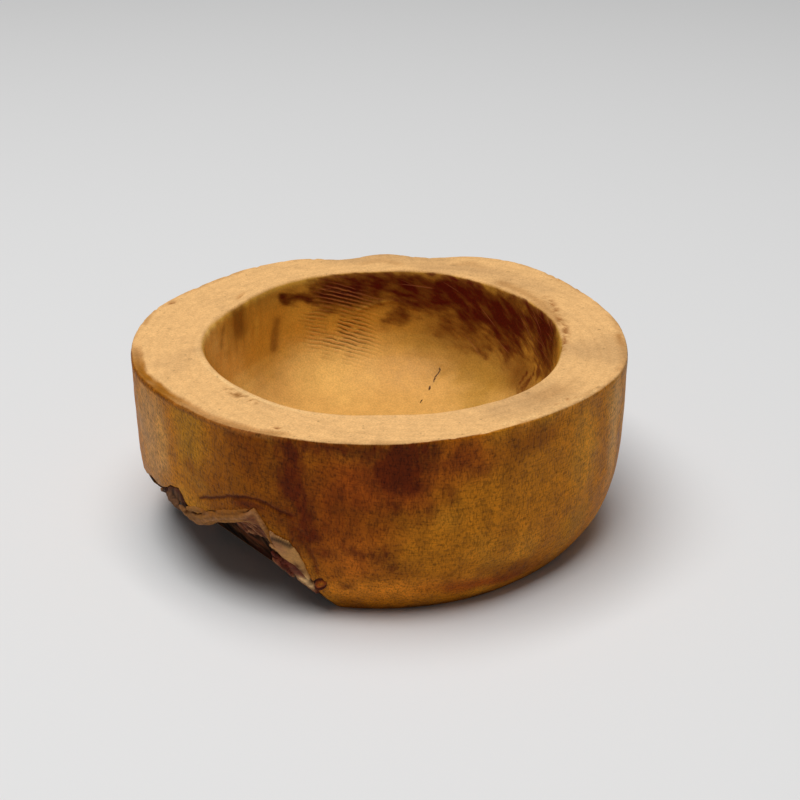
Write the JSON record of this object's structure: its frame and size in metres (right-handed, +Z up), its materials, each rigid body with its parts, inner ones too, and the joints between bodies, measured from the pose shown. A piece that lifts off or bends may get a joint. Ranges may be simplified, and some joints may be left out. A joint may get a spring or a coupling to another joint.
{
  "type": "wooden bowl",
  "caption": "Thick-walled round bowl hewn from root wood, with a flat sanded rim, a rounded hollow and a natural bark-lined undercut low on one side.",
  "frame": {"origin": "on the table, under the middle of the bowl's box", "axes": "+X to the right across the wider side of the rim, +Y away from the viewer, +Z up out of the bowl's mouth; the undercut opens towards -X and -Y"},
  "size_m": [0.165, 0.156, 0.065],
  "materials": {
    "root_wood": "sanded satin",
    "pale_bark": "dry matte",
    "dark_bark": "rough matte",
    "brown_bark": "rough matte",
    "red_bark": "torn matte",
    "knot_wood": "satin"
  },
  "bodies": {
    "root": {"bowl_body": "root_wood", "bark_lip": "pale_bark", "bark_flake_left": "dark_bark", "bark_flake_mid": "brown_bark", "bark_strip_upper": "pale_bark", "bark_strip_lower": "red_bark", "tip_knot": "knot_wood"}
  },
  "joints": []
}
